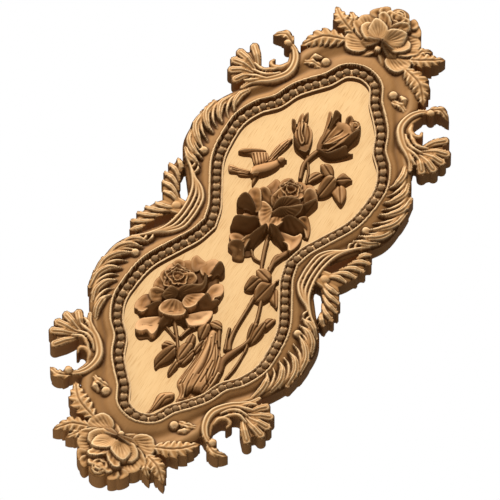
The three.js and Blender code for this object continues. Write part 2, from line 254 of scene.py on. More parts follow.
# turns a sheet into a closed piece: top surface, upright sides and a plain back
def pieceFromSheet(name, sheet, base, material):
    x, u, h, d = sheet["x"].copy(), sheet["u"].copy(), sheet["h"].copy(), sheet["d"]
    step = sheet["step"]
    outside = np.pad(d <= -0.5 * step, 1, constant_values=True)
    n, m = h.shape
    close = np.any([outside[i:i + n, j:j + m] for i in range(3) for j in range(3)], axis=0)
    used = d > -0.5 * step
    near = used & close & (d < 0.5 * step)
    du, dx = np.gradient(d, step)
    steep = np.maximum(dx ** 2 + du ** 2, 0.3)
    x[near] -= np.clip(d * dx / steep, -0.6 * step, 0.6 * step)[near]
    u[near] -= np.clip(d * du / steep, -0.6 * step, 0.6 * step)[near]
    core = np.pad(np.where(d > 0.5 * step, h, 0), 1)
    highest = np.max([core[i:i + n, j:j + m] for i in range(3) for j in range(3)], axis=0)
    h[near] = np.maximum(highest[near] - 0.6, base[near] + 0.5)

    # how the finish sits: glaze and painted shade stay low and on steep sides, high parts are rubbed back with
    # a painted highlight
    wideCells = round(glazeShadeForm["wideMm"] / step)
    fineCells = round(glazeShadeForm["fineMm"] / step)
    weight = np.maximum(boxBlur(used.astype(float), wideCells), 1e-3)
    fineWeight = np.maximum(boxBlur(used.astype(float), fineCells), 1e-3)
    level = boxBlur(np.where(used, h, 0), wideCells) / weight
    fine = boxBlur(np.where(used, h, 0), fineCells) / fineWeight
    gu, gx = np.gradient(h, step)
    slope = np.hypot(gu, gx)
    # painted shade: darker below the surrounding level, in fine cuts and on steep sides
    glazeAndShade = 0.9 * np.clip((level - h) / glazeShadeForm["hollowMm"], 0, 1)
    glazeAndShade = glazeAndShade + np.clip((fine - h) / glazeShadeForm["cutMm"], 0, 0.7)
    glazeAndShade = glazeAndShade + 0.8 * np.clip((slope - glazeShadeForm["steep"]) / 1.5, 0, 1)
    glazeAndShade = glazeAndShade * (1 - np.clip(sheet["paintedLightTone"], 0, 1)) - np.minimum(sheet["paintedLightTone"], 0)
    # painted highlight: paler where a point stands above its near surroundings, also giving a rubbed-back look
    rubAndHighlight = np.clip((h - fine) / glazeShadeForm["ridgeMm"], 0, 0.9)

    index = np.full(h.shape, -1)
    index[used] = np.arange(used.sum())
    verts = np.column_stack([x[used], -h[used], u[used]]) * mm
    looks = [np.clip(glazeAndShade, 0, 1)[used], np.clip(rubAndHighlight, 0, 1)[used], np.clip(sheet["paintedLightTone"], 0, 1)[used]]
    corners = np.stack([index[:-1, :-1], index[:-1, 1:], index[1:, 1:], index[1:, :-1]], -1)
    held = (corners >= 0).sum(-1)
    quads = corners[held == 4]
    cut = corners[held == 3]
    tris = np.array([row[row >= 0] for row in cut]).reshape(-1, 3)

    edges = np.vstack([np.stack([f, np.roll(f, -1, axis=1)], -1).reshape(-1, 2) for f in (quads, tris)])
    total = len(verts)
    key = edges[:, 0] * total + edges[:, 1]
    back = edges[:, 1] * total + edges[:, 0]
    rim = edges[~np.isin(key, back)]
    ids = np.unique(rim)
    order = np.full(total, -1)
    order[ids] = np.arange(len(ids))
    foot = -base[used][ids] * mm
    upper = verts[ids]
    lower = np.column_stack([upper[:, 0], foot, upper[:, 2]])
    p, q = order[rim[:, 0]] + total, order[rim[:, 1]] + total
    sides = np.column_stack([p, p + len(ids), q + len(ids), q])

    # plain back: runs of cells on one level become one face each
    backVerts = []
    backFaces = []
    flat = base[used]
    solid = held == 4
    low = np.min([base[:-1, :-1], base[:-1, 1:], base[1:, 1:], base[1:, :-1]], axis=0)
    high = np.max([base[:-1, :-1], base[:-1, 1:], base[1:, 1:], base[1:, :-1]], axis=0)
    moved = near[:-1, :-1] | near[:-1, 1:] | near[1:, 1:] | near[1:, :-1]
    plain = solid & (low == high) & ~moved
    for i in range(solid.shape[0]):
        j = 0
        while j < solid.shape[1]:
            if not solid[i, j]:
                j += 1
                continue
            k = j
            while k + 1 < solid.shape[1] and plain[i, j] and plain[i, k + 1] and low[i, k + 1] == low[i, j]:
                k += 1
            four = [index[i, j], index[i + 1, j], index[i + 1, k + 1], index[i, k + 1]]
            n0 = total + 2 * len(ids) + len(backVerts)
            backVerts += [(verts[v][0], -flat[v] * mm, verts[v][2]) for v in four]
            backFaces.append((n0, n0 + 1, n0 + 2, n0 + 3))
            j = k + 1
    for tri in tris:
        n0 = total + 2 * len(ids) + len(backVerts)
        backVerts += [(verts[v][0], -flat[v] * mm, verts[v][2]) for v in tri]
        backFaces.append((n0 + 2, n0 + 1, n0))

    points = np.vstack([verts, upper, lower, np.array(backVerts)])
    extra = len(points) - total
    mesh = bpy.data.meshes.new(name)
    mesh.from_pydata(points.tolist(), [], quads.tolist() + tris.tolist() + sides.tolist() + backFaces)
    # side walls get painted shade: full on inner walls, less on outer walls; the back gets a lighter share
    walls = np.where(base[used][ids] > 0, glazeShadeForm["innerWall"], glazeShadeForm["outerWall"])
    rest = np.r_[walls, walls, np.full(extra - 2 * len(ids), glazeShadeForm["rear"])]
    for label, values, others in zip(("glazeAndShade", "rubAndHighlight", "paintedLightTone"), looks, (rest, 0 * rest, 0 * rest)):
        layer = mesh.attributes.new(label, "FLOAT", "POINT")
        layer.data.foreach_set("value", np.r_[values, others].astype(np.float32))
    mesh.polygons.foreach_set("use_smooth", np.ones(len(mesh.polygons), bool))
    mesh.update()
    mesh.materials.append(material)
    obj = bpy.data.objects.new(name, mesh)
    bpy.context.scene.collection.objects.link(obj)
    print(name, sum(len(f.vertices) - 2 for f in mesh.polygons), "triangles")
    return obj


# materials

def toLinear(code):
    parts = [int(code[i:i + 2], 16) / 255 for i in (1, 3, 5)]
    return [c / 12.92 if c <= 0.04045 else ((c + 0.055) / 1.055) ** 2.4 for c in parts] + [1.0]


def addNode(tree, kind, inputs=None, **settings):
    node = tree.nodes.new(kind)
    for name, value in settings.items():
        setattr(node, name, value)
    for name, value in (inputs or {}).items():
        socket = node.inputs[name]
        if isinstance(value, bpy.types.NodeSocket):
            tree.links.new(value, socket)
        else:
            socket.default_value = value
    return node


def woodGrain(tree, acrossMm, alongMm, detail=3.0):
    where = addNode(tree, "ShaderNodeTexCoord")
    size = addNode(tree, "ShaderNodeMapping", {
        "Vector": where.outputs["Object"],
        "Scale": (1000 / acrossMm, 1000 / acrossMm, 1000 / alongMm)})
    return addNode(tree, "ShaderNodeTexNoise", {
        "Vector": size.outputs["Vector"], "Scale": 1.0, "Detail": detail, "Roughness": 0.6})


def carvedWood(name, look):
    mat = bpy.data.materials.new(name)
    mat.use_nodes = True
    tree = mat.node_tree
    shader = tree.nodes["Principled BSDF"]
    glazeAndShade = addNode(tree, "ShaderNodeAttribute", attribute_name="glazeAndShade")
    rubAndHighlight = addNode(tree, "ShaderNodeAttribute", attribute_name="rubAndHighlight")
    paintedLightTone = addNode(tree, "ShaderNodeAttribute", attribute_name="paintedLightTone")
    grain = woodGrain(tree, look["grainAcrossMm"], look["grainAlongMm"])
    body = addNode(tree, "ShaderNodeMix", {
        "Factor": grain.outputs["Fac"], "A": toLinear(look["wood"]), "B": toLinear(look["woodDeep"])},
        data_type="RGBA")
    # painted highlight on the high parts, also a rubbed-back look
    lit = addNode(tree, "ShaderNodeMix", {
        "Factor": rubAndHighlight.outputs["Fac"], "A": body.outputs["Result"], "B": toLinear(look["rubbedAndHighlit"])},
        data_type="RGBA")
    # painted light: paler where the lightness value is above zero
    pale = addNode(tree, "ShaderNodeMix", {
        "Factor": paintedLightTone.outputs["Fac"], "A": lit.outputs["Result"], "B": toLinear(look["pale"])},
        data_type="RGBA")
    # glaze in the hollows together with painted shade on steep, undercut and recessed parts
    dark = addNode(tree, "ShaderNodeMix", {
        "Factor": glazeAndShade.outputs["Fac"], "A": pale.outputs["Result"], "B": toLinear(look["glazeAndShade"])},
        data_type="RGBA")
    tree.links.new(dark.outputs["Result"], shader.inputs["Base Color"])
    shader.inputs["Roughness"].default_value = look["roughness"]
    shader.inputs["IOR"].default_value = 1.5
    shader.inputs["Specular IOR Level"].default_value = look["sheen"]
    tooling = woodGrain(tree, 1.4, 6.0, 2.0)
    bump = addNode(tree, "ShaderNodeBump", {
        "Height": tooling.outputs["Fac"], "Strength": 0.25, "Distance": 0.0004})
    tree.links.new(bump.outputs["Normal"], shader.inputs["Normal"])
    return mat


def boardWood(name, look):
    mat = bpy.data.materials.new(name)
    mat.use_nodes = True
    tree = mat.node_tree
    shader = tree.nodes["Principled BSDF"]
    cloud = woodGrain(tree, look["cloudAcrossMm"], look["cloudAlongMm"])
    streak = woodGrain(tree, look["streakAcrossMm"], look["streakAlongMm"], 1.0)
    sharp = addNode(tree, "ShaderNodeMapRange", {
        "Value": streak.outputs["Fac"], "From Min": 0.54, "From Max": 0.7, "To Max": look["streak"]})
    body = addNode(tree, "ShaderNodeMix", {
        "Factor": cloud.outputs["Fac"], "A": toLinear(look["wood"]), "B": toLinear(look["woodDeep"])},
        data_type="RGBA")
    marked = addNode(tree, "ShaderNodeMix", {
        "Factor": sharp.outputs["Result"], "A": body.outputs["Result"], "B": toLinear(look["mark"])},
        data_type="RGBA")
    tree.links.new(marked.outputs["Result"], shader.inputs["Base Color"])
    shader.inputs["Roughness"].default_value = look["roughness"]
    shader.inputs["IOR"].default_value = 1.5
    shader.inputs["Specular IOR Level"].default_value = 0.25
    return mat


# warm stained wood, glaze and painted shade dark in the hollows and a painted highlight, rubbed tan, on the
# high parts
frameWood = carvedWood("stained limewood, carved and rubbed back", {
    "wood": "#c89862", "woodDeep": "#b18351", "rubbedAndHighlit": "#f6d6a8", "pale": "#f2cfa0", "glazeAndShade": "#54361a",
    "grainAcrossMm": 3.0, "grainAlongMm": 34.0, "roughness": 0.6, "sheen": 0.08})
# a shade browner than the frame, with painted shade making the undercut sides nearly black
sprayWood = carvedWood("dark stained limewood, carved in relief", {
    "wood": "#a67748", "woodDeep": "#92663c", "rubbedAndHighlit": "#e6bd8c", "pale": "#e8b988", "glazeAndShade": "#5c3c1c",
    "grainAcrossMm": 2.4, "grainAlongMm": 26.0, "roughness": 0.6, "sheen": 0.08})
# pale planed board with short darker pores along its length
groundWood = boardWood("pale beech board, planed", {
    "wood": "#f3d09a", "woodDeep": "#e6bd82", "mark": "#c99a5e", "streak": 0.7, "cloudAcrossMm": 9.0,
    "cloudAlongMm": 120.0, "streakAcrossMm": 0.8, "streakAlongMm": 20.0, "roughness": 0.55})
print("materials ready")


# frame

frameForm = {
    "step": 1.0,
    "beadLine": [(0, 253), (19, 246), (30, 227), (44, 211), (56, 195), (65, 174), (80, 157), (90, 134),
                 (91, 110), (86, 77), (69, 43), (58, 22), (52, 0)],
    "outerLine": [(0, 312), (28, 300), (58, 272), (75, 243), (76, 222), (92, 190), (112, 164), (127, 136),
                  (133, 106), (129, 72), (106, 40), (91, 18), (88, 0)],
    "lip": -7.5, "lipTop": 17.0, "channel": 12.0, "seat": 15.5, "rim": 23.0, "rimStart": 5.6, "rimEnd": 8.4,
    "cove": [21.6, 19.6, 17.0, 18.6, 21.0, 18.0],
    "beads": 31, "bead": 4.5, "beadTop": 20.0, "rebate": -2.5, "board": 8.0, "gap": 0.3}

fingers = [
    [(101, 170), (105, 157), (104, 144), (100, 137)],
    [(114, 152), (117, 138), (112, 124), (104, 117)],
    [(126, 137), (126, 120), (118, 107), (107, 101)],
    [(130, 120), (128, 100), (118, 86), (105, 77)],
    [(129, 92), (124, 79), (114, 70), (101, 66)],
    [(123, 70), (114, 62), (99, 57)]]
strands = [
    [(97, 42), (83, 33), (74, 22), (71.5, 10), (71, 0)],
    [(104, 48), (90, 36), (79, 23), (76, 10), (75.5, 0)],
    [(111, 54), (97, 42), (85, 26), (81.5, 11), (81, 0)],
    [(118, 60), (104, 48), (92, 31), (87, 13), (86, 0)]]
earForm = {"blade": [(93, 0), (106, 8), (114, 20), (119, 33), (122, 48)], "fingers": [
    ((95, 3), (116, 9)), ((98, 9), (123, 19)), ((103, 18), (127, 30)), ((108, 28), (128, 42)),
    ((113, 38), (123, 52))]}
# petals of an end rose, right of its middle: height, way it faces, slope, painted light (below zero painted
# shade), grooves, then its edge
endRose = [
    (24, 90, 0.1, 0.15, 18, [(39, 280), (41, 286), (38, 291), (31, 291), (22, 288), (15, 284), (13, 279),
        (18, 273), (27, 270), (33, 272)]),
    (22, 300, 0.3, 0, 0, [(19, 274), (15, 282), (6, 287), (0, 284), (7, 277), (14, 273)]),
    (26, 120, 0.1, 0, 0, [(41, 302), (40, 307), (34, 304), (25, 299), (18, 292), (23, 290), (33, 294)]),
    (29, 120, 0.15, 0.2, 26, [(30, 300), (28, 309), (20, 312), (13, 309), (11, 295), (15, 291), (21, 291)]),
    (30, 300, 0.7, -0.5, 0, [(22, 287), (18, 292), (10, 293), (1, 293), (4, 288), (13, 283), (17, 284)]),
    (31, 120, 0.1, 0.2, 14, [(18, 319), (11, 324), (3, 320), (0, 311), (7, 311), (13, 314)]),
    (25, 120, 0.1, 0.15, 20, [(20, 301), (18, 312), (20, 320), (28, 322), (36, 318), (39, 311), (35, 304),
        (26, 302)]),
    (25, 120, 0.1, 0, 0, [(18, 328), (23, 335), (29, 331), (32, 324), (26, 321), (20, 322)]),
    (26, 120, 0.1, 0, 14, [(13, 331), (15, 340), (21, 338), (24, 332), (20, 327)]),
    (27, 120, 0.1, -0.2, 0, [(-10, 332), (-10, 340), (-3, 343), (2, 344), (8, 341), (10, 334), (1, 330),
        (-5, 328)]),
    (30, 300, 0.3, 0, 0, [(-7, 325), (-2, 333), (7, 334), (13, 334), (14, 328), (5, 324), (-3, 322)]),
    (33, 300, 0.35, 0.25, 0, [(0, 297), (0, 307), (6, 313), (16, 316), (21, 314), (21, 302), (15, 295),
        (7, 292)]),
    (33, 300, 0.5, 0, 0, [(0, 311), (2, 319), (10, 326), (17, 327), (20, 322), (12, 316), (6, 311)]),
    (23, 300, 0.6, -0.5, 0, [(1, 295), (10, 294), (18, 297), (27, 301), (35, 304), (33, 299), (20, 291),
        (10, 288), (4, 290)]),
]
shellTips = [(119.5, 174), (129.5, 182.5), (133, 195), (132.5, 207), (122.5, 221)]
shellRoots = [
    [(81, 206), (87, 199), (96, 194), (108, 194)],
    [(84, 211), (91, 204), (100, 199), (111, 202)],
    [(86, 194), (93, 190), (101, 188), (110, 185)],
    [(93, 188), (99, 184), (104, 180), (110, 177)]]
beadCurve = curveThrough([(-19, 246)] + frameForm["beadLine"], 280)
outerCurve = curveThrough([(-28, 300)] + frameForm["outerLine"] + [(91, -18)], 300)


def carveMoulding(sheet):
    x, u = sheet["x"], sheet["u"]
    d = lineField(x, u, beadCurve)[1]
    out = -lineField(x, u, outerCurve)[1]
    f = np.clip((d - 8) / np.maximum(d - 8 + np.maximum(out, 0), 0.5), 0, 1)
    climb = np.clip((d - frameForm["rimStart"]) / 0.9, 0, 1)
    z = np.where(d < -5.4, frameForm["lipTop"] - 0.5 * (d + 6.5) ** 2,
                 frameForm["channel"] + (frameForm["rim"] - frameForm["channel"]) * climb)
    z = np.where(np.abs(d) < 3.6, frameForm["seat"], z)
    cove = curveThrough([(4 * k, v) for k, v in enumerate(frameForm["cove"])], 80)
    z = np.where(d > frameForm["rimEnd"], np.interp(20 * f, cove[:, 0], cove[:, 1]), z)
    bands = [d < -5.4, np.abs(d) < 3.6, d < 6.6, d < frameForm["rimEnd"]]   # lip, bead seat, channel, rim
    # painted light on the lip, bead seat and rim tops; painted shade in the channel and over the cove band
    paintedLightTone = np.select(bands, [0.6, 0.9, -0.6, 0.8], -0.35)
    lay(sheet, (slice(None), slice(None)), np.minimum(d - frameForm["lip"], out), z, 0.9, paintedLightTone)
    walk = beadCurve[beadCurve[:, 0] >= -0.3]
    for k in np.linspace(0, len(walk) - 1, frameForm["beads"] + 1).round().astype(int):
        # beads darkened with painted shade
        dome(sheet, walk[k], frameForm["bead"], frameForm["beadTop"], 1.0, paintedLightTone=-0.7)
    return d


def carveQuarter(sheet):
    for points in fingers:
        stroke(sheet, curveThrough(points, 50), [7, 10, 9, 2.5], [23, 27, 28.5, 26], 5.0,
               ribs=3, rib=2.2, edge=1.2)
    for a, b in zip(fingers[:4], fingers[1:5]):
        between = (np.array(a) + np.array(b)) / 2
        stroke(sheet, curveThrough(between, 50), [3, 4.5, 4, 1], [22, 24, 25, 23], 2.0, edge=0.8)
    dome(sheet, (104, 76), 4.8, 26)
    for points in strands:
        stroke(sheet, curveThrough(points, 60), [3.5, 4.6, 4.4, 4.2], [24, 25, 25, 25], 3.4, edge=0.8)
    for a, b in (((99, 45), (101, 57)), ((105, 49), (107, 60)), ((111, 53), (114, 62))):
        stroke(sheet, bowed(a, b, 0.2), [3, 4, 1], [23, 25, 22], 2)
    stroke(sheet, bowed((80, 0), (100, 8), 0.1), [12, 9, 6], [22, 23, 22], 3, ribs=2, rib=0.8)
    dome(sheet, (95, 0), 6, 24, 0.7)
    stroke(sheet, curveThrough(earForm["blade"], 60), [14, 20, 18, 14, 6], [20, 20.5, 21, 21, 20], 2.0)
    for a, b in earForm["fingers"]:
        stroke(sheet, bowed(a, b, 0.1), [3, 6, 7.5, 5], [22, 25, 26, 23], 3.5, ribs=2, rib=1.4, edge=1.0)

    scroll = curveThrough([(93, 244.5), (85, 242), (79, 237), (74, 229), (71.5, 218), (73, 208), (79, 199),
                           (87, 191), (95, 185.5), (103, 178), (108, 168)], 110)
    stroke(sheet, scroll, [5, 9, 10, 10, 9, 5], [24, 25, 26, 26, 26, 24], 2.5, ribs=2, rib=1.6)
    fold = curveThrough([(84, 236), (79, 224), (80, 212), (88, 204)], 40)
    stroke(sheet, fold, [3, 5, 5, 3], [20, 21, 21, 20], 1.5)
    dome(sheet, (92, 243), 4.6, 27)
    leaf(sheet, (87, 246), (113, 247), 12, [23, 25, 20], 0.22, teeth=3, tooth=0.25)
    hook = curveThrough([(80, 222), (83, 213), (90, 209), (96, 212), (95, 218)], 40)
    stroke(sheet, hook, [4, 6, 6.5, 5, 3], [21, 24, 25, 24, 22], 2.5)
    petal(sheet, (98, 193), 4, 35, 112, [20, 22, 20], 27, 0.6, edge=1.6)
    for tip in shellTips:
        line = bowed((101, 193), tip, 0.04)
        stroke(sheet, line, [4, 7, 10, 11], [22, 24, 27, 25], 4.5, ribs=3, rib=1.8, edge=1.4)
    for points in shellRoots:
        stroke(sheet, curveThrough(points, 40), [3, 4.5, 5, 3], [24, 26, 26.5, 25], 2.5, edge=1.0)

    leaf(sheet, (36, 292), (70, 314), 20, [24, 27, 21], -0.08, teeth=5, tooth=0.35)
    leaf(sheet, (40, 298), (53, 316), 11, [24, 26, 21], 0.1, teeth=3)
    leaf(sheet, (38, 280), (79, 250), 25, [24, 26, 21], 0.12, teeth=6, tooth=0.35)
    dome(sheet, (43.5, 244), 5.4, 25)
    stroke(sheet, bowed((52, 247), (61, 240), 0.1), [5, 8, 3], [22, 25, 21], 3)
    leaf(sheet, (44, 237), (69, 231), 9, [20, 23, 20], 0.1, teeth=3)


def carveEndRose(sheet):
    # painted shade darkens each petal towards the rose's middle; each listed lightness is painted light above
    # zero and painted shade below
    for top, facing, slope, paintedLightTone, ribs, points in endRose:
        patch(sheet, points, top, facing, slope, 1.4, 8.0, cup=2.6, ribs=3 * ribs or 36, rib=0.5, grow=0.8,
              fade=0.45, paintedLightTone=paintedLightTone)
    curl(sheet, (0, 332), 9, 30, 4, 4.0)
    dome(sheet, (0, 285), 4, 29, 0.8)


def unfold(a, sign=(1, 1)):
    a = np.concatenate([sign[0] * a[:, :0:-1], a], axis=1)
    return np.concatenate([sign[1] * a[:0:-1], a], axis=0)


quarter = newSheet(0, 140, 0, 352, frameForm["step"])
beadSide = carveMoulding(quarter)
carveQuarter(quarter)
wide = newSheet(-50, 140, 0, 352, frameForm["step"])   # petals of an end rose reach past its middle
carveEndRose(wide)
roseHalf = {name: wide[name][:, -quarter["x"].shape[1]:] for name in ("h", "d", "paintedLightTone")}
higher = roseHalf["h"] > quarter["h"]
for name in ("h", "paintedLightTone"):
    quarter[name] = np.where(higher, roseHalf[name], quarter[name])
quarter["d"] = np.maximum(quarter["d"], roseHalf["d"])
inner = beadSide - frameForm["lip"]
quarter["d"] = np.minimum(quarter["d"], np.where(beadSide < 0, inner, quarter["d"]))
whole = {"x": unfold(quarter["x"], (-1, 1)), "u": unfold(quarter["u"], (1, -1)), "step": frameForm["step"]}
for name in ("h", "d", "paintedLightTone"):
    whole[name] = unfold(quarter[name])
rebate = unfold(np.where(beadSide < frameForm["rebate"], frameForm["board"] + frameForm["gap"], 0.0))
carvedFrame = pieceFromSheet("carvedFrame", whole, rebate, frameWood)
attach(carvedFrame, "root")
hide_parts("carved_frame")
print("frame carved")


# ground board

def offsetRing(line, offset):
    tangent = np.gradient(line, axis=0)
    tangent /= np.linalg.norm(tangent, axis=1)[:, None]
    moved = line + np.column_stack([-tangent[:, 1], tangent[:, 0]]) * offset
    moved = moved[(moved[:, 0] >= 0) & (moved[:, 1] >= 0)]
    return np.vstack([moved, (moved * (1, -1))[::-1], moved * (-1, -1), (moved * (-1, 1))[::-1]])


ring = offsetRing(beadCurve, frameForm["rebate"] - frameForm["gap"])
count = len(ring)
front = np.column_stack([ring[:, 0], np.full(count, -frameForm["board"]), ring[:, 1]]) * mm
rear = front * (1, 0, 1)
loop = list(range(count))
boardFaces = [loop[::-1], [count + k for k in loop]]
boardFaces += [[k, (k + 1) % count, count + (k + 1) % count, count + k] for k in loop]
boardMesh = bpy.data.meshes.new("groundBoard")
boardMesh.from_pydata(np.vstack([front, rear]).tolist(), [], boardFaces)
boardMesh.materials.append(groundWood)
groundBoard = bpy.data.objects.new("groundBoard", boardMesh)
bpy.context.scene.collection.objects.link(groundBoard)
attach(groundBoard, "root")
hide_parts("ground_board")
print("ground board laid")


# rose spray
# every petal and leaf: height, way it faces, slope, painted light (below zero painted shade), then its edge

sprayForm = {"step": 0.6, "ground": 8.3, "clear": 7.8}
upperRose = [
    (19, 300, 0.8, 0, [(6, 24), (-8, 29), (-17, 25), (-29, 19), (-30, 11), (-28, 6), (-17, 10), (-10, 10),
        (-3, 15)]),
    (20, 120, 0.3, 0.3, [(-23, 23), (-26, 30), (-21, 34), (-14, 33), (-5, 29), (-16, 24)]),
    (23, 300, 0.7, 0, [(-34, 31), (-37, 37), (-34, 45), (-28, 46), (-20, 42), (-10, 33), (-5, 27),
        (-10, 27), (-19, 34), (-25, 34)]),
    (22, 210, 0.5, 0.2, [(-33, 51), (-35, 59), (-31, 63), (-24, 62), (-18, 54), (-12, 42), (-14, 37),
        (-21, 42), (-29, 46)]),
    (22, 300, 0.2, 0.1, [(-24, 62), (-23, 67), (-18, 69), (-11, 64), (-6, 53), (-11, 51), (-17, 53)]),
    (20, 120, 0.2, 0, [(-20, 71), (-19, 79), (-17, 87), (-11, 84), (-7, 75), (-7, 64), (-14, 65)]),
    (20, 120, 0.2, 0, [(-9, 79), (-9, 91), (-2, 96), (2, 89), (3, 78), (-1, 71)]),
    (20, 120, 0.2, 0, [(1, 85), (3, 92), (9, 97), (17, 94), (19, 84), (12, 76)]),
    (20, 120, 0.2, 0.2, [(15, 89), (18, 98), (24, 98), (30, 92), (26, 84), (20, 83)]),
    (23, 300, 0.1, 0, [(-8, 61), (-7, 69), (-4, 76), (3, 67), (1, 59), (-2, 53)]),
    (23, 120, 0.2, 0.1, [(1, 68), (1, 79), (8, 83), (16, 84), (21, 78), (16, 71), (8, 66)]),
    (22, 300, 0.3, 0.4, [(21, 84), (23, 91), (30, 91), (37, 84), (38, 79), (32, 73), (27, 74)]),
    (22, 300, 0.8, 0, [(32, 73), (38, 79), (36, 70), (32, 60), (28, 54), (27, 48), (25, 54), (28, 67)]),
    (26, 300, 0.5, 0.1, [(0, 50), (2, 61), (9, 67), (22, 71), (24, 62), (11, 51), (4, 48)]),
    (26, 210, 0.15, 0.45, [(-12, 41), (-14, 50), (-7, 50), (1, 45), (4, 35), (7, 21), (-1, 25), (-8, 33)]),
    (26, 120, 0.15, 0.45, [(7, 23), (4, 32), (8, 41), (13, 50), (18, 51), (18, 38), (15, 29), (11, 23)]),
    (28, 300, 0.5, 0.2, [(3, 40), (8, 50), (19, 58), (28, 65), (30, 60), (26, 50), (22, 45), (12, 43)]),
    (20, 300, 0.8, 0, [(15, 32), (18, 42), (22, 47), (30, 49), (38, 49), (44, 47), (48, 39), (43, 39),
        (34, 34), (22, 32)]),
    (19, 30, 0.5, 0.3, [(32, 53), (36, 61), (41, 58), (47, 50), (50, 39), (44, 45), (37, 50)]),
    (20, 120, 0.2, 0.4, [(12, 25), (20, 30), (29, 31), (38, 32), (42, 39), (46, 30), (46, 18), (43, 12),
        (37, 19), (28, 21)]),
    (21, 300, 0.9, 0, [(11, 24), (18, 26), (26, 23), (37, 18), (42, 11), (27, 16), (19, 18)]),
    (20, 300, 0.8, 0, [(5, 21), (8, 21), (6, 10), (4, 0), (6, -9), (-2, -15), (-7, -10), (-5, 4)]),
    (21, 120, 0.2, 0.3, [(-25, -3), (-23, 2), (-17, 4), (-9, 2), (-8, -4), (-15, -8), (-19, -8)]),
    (20, 300, 0.4, 0, [(-19, -16), (-18, -9), (-10, -5), (-4, -9), (1, -20), (-8, -24), (-12, -19)]),
    (22, 300, 0.2, 0.2, [(-10, -4), (-8, 3), (-3, 9), (-3, 0), (-4, -12), (-8, -11)]),
]
buds = [
    (22, 210, 0.2, 0.2, [(-26, 142), (-30, 155), (-30, 166), (-24, 164), (-15, 160), (-9, 154), (-5, 143),
        (-4, 132), (-11, 131), (-20, 134)]),
    (21, 300, 0.6, 0, [(-26, 141), (-19, 137), (-12, 135), (-3, 133), (-1, 128), (-10, 129), (-19, 132)]),
    (24, 210, 0.3, 0.3, [(-18, 140), (-25, 149), (-29, 165), (-25, 162), (-21, 151), (-13, 142),
        (-13, 137)]),
    (24, 30, 0.3, 0, [(-12, 141), (-19, 152), (-23, 163), (-16, 156), (-11, 147), (-9, 141)]),
    (20, 300, 0.4, 0, [(-37, 156), (-39, 161), (-35, 161), (-31, 156), (-28, 148), (-33, 152)]),
    (20, 300, 0.3, 0, [(-28, 161), (-30, 170), (-28, 177), (-25, 172), (-23, 163), (-22, 157)]),
    (21, 210, 0.3, 0.2, [(-31, 158), (-34, 168), (-33, 174), (-30, 170), (-27, 160)]),
    (22, 210, 0.15, 0.2, [(3, 143), (-1, 157), (1, 169), (4, 182), (11, 184), (17, 185), (28, 180),
        (30, 173), (23, 159), (15, 146)]),
    (24, 120, 0.3, 0.3, [(8, 147), (9, 159), (15, 168), (20, 179), (29, 176), (22, 167), (17, 154)]),
    (21, 300, 0.7, 0.1, [(15, 145), (23, 160), (29, 174), (35, 182), (37, 175), (34, 166), (31, 157),
        (23, 148)]),
    (20, 300, 0.8, 0, [(6, 141), (16, 144), (26, 154), (31, 159), (36, 155), (41, 157), (37, 151),
        (26, 141), (16, 137)]),
    (21, 210, 0.3, 0.1, [(3, 146), (0, 160), (-3, 173), (-8, 189), (-4, 189), (-1, 180), (1, 166),
        (4, 150)]),
    (22, 300, 0.5, 0, [(5, 152), (3, 166), (1, 180), (0, 190), (8, 189), (6, 183), (5, 175), (5, 162)]),
    (25, 300, 0.3, 0, [(18, 182), (14, 189), (16, 195), (21, 193), (24, 186), (22, 181)]),
    (25, 30, 0.4, 0, [(23, 189), (28, 191), (33, 189), (36, 179), (32, 177), (26, 180)]),
]
